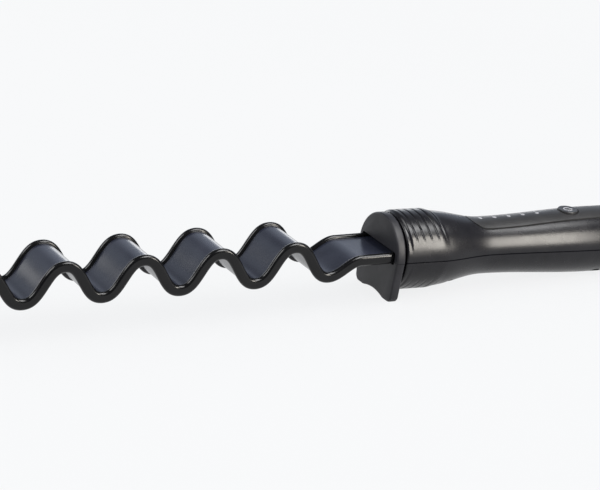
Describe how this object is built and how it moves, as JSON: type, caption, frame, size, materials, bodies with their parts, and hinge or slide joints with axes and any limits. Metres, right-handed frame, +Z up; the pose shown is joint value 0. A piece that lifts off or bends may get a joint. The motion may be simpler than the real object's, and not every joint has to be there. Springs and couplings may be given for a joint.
{
  "type": "wave curling iron",
  "caption": "Handheld hair waver with a flat heated barrel bent into waves, a round heat guard with feet, and a two-shell handle with power button and swivel cord outlet.",
  "frame": {"origin": "centre of the bounding box's footprint, on the surface that the wand stands on", "axes": "+X from the barrel's tip towards the cord outlet, +Y across the barrel to the far edge rail, +Z up with the control panel on top"},
  "size_m": [0.3858, 0.0366, 0.0389],
  "materials": {
    "plate_coating": "satin ceramic coating",
    "rail_gloss": "gloss",
    "mica": "matte mica sheet",
    "foil": "etched resistance foil",
    "steel": "zinc plated",
    "ceramic_white": "matte ceramic",
    "shield_board": "matte",
    "guard_matte": "matte heat-resistant plastic",
    "shell_satin": "satin soft-touch plastic",
    "panel_satin": "satin",
    "lens_clear": "frosted light pipe",
    "plunger_red": "moulded",
    "chip_black": "moulded",
    "board_green": "solder mask",
    "led_epoxy": "clear epoxy",
    "capacitor_box": "moulded",
    "lead_white": "silicone sleeve",
    "lead_blue": "silicone sleeve",
    "ball_black": "moulded",
    "contact_brass": "polished"
  },
  "bodies": {
    "wand": {"upper_plate": "plate_coating", "lower_plate": "plate_coating", "upper_mica": "mica", "lower_mica": "mica", "heater_foil": "foil", "left_rail": "rail_gloss", "right_rail": "rail_gloss", "tip_cap": "rail_gloss", "tip_screw": "steel", "shank_pins": "steel", "thermistor": "ceramic_white", "thermal_fuse": "ceramic_white", "upper_collar": "ceramic_white", "lower_collar": "ceramic_white", "heat_shield": "shield_board", "upper_guard": "guard_matte", "lower_guard": "guard_matte", "upper_shell": "shell_satin", "lower_shell": "shell_satin", "control_panel": "panel_satin", "light_pipes": "lens_clear", "tact_switch": "chip_black", "circuit_board": "board_green", "indicator_leds": "led_epoxy", "controller_chip": "chip_black", "triac": "chip_black", "capacitor": "capacitor_box", "board_fuse": "ceramic_white", "board_screws": "steel", "case_screws": "steel", "heater_leads": "lead_white", "mains_leads": "lead_blue", "brush_block": "ceramic_white", "contact_springs": "contact_brass"},
    "button": {"power_button": "panel_satin", "switch_plunger": "plunger_red"},
    "swivel": {"swivel_ball": "ball_black", "slip_rings": "contact_brass"}
  },
  "joints": [
    {"name": "power_button_press", "type": "slide", "parent": "wand", "child": "button", "axis": [-0.0326, 0, -0.9995], "range_m": [0, 0.0006], "stiffness_N_per_m": 600, "springref_m": -0.001},
    {"name": "cord_swivel", "type": "hinge", "parent": "wand", "child": "swivel", "pos_m": [0.18575, 0, 0.0152], "axis": [0.9995, 0, -0.0326], "continuous": true}
  ]
}
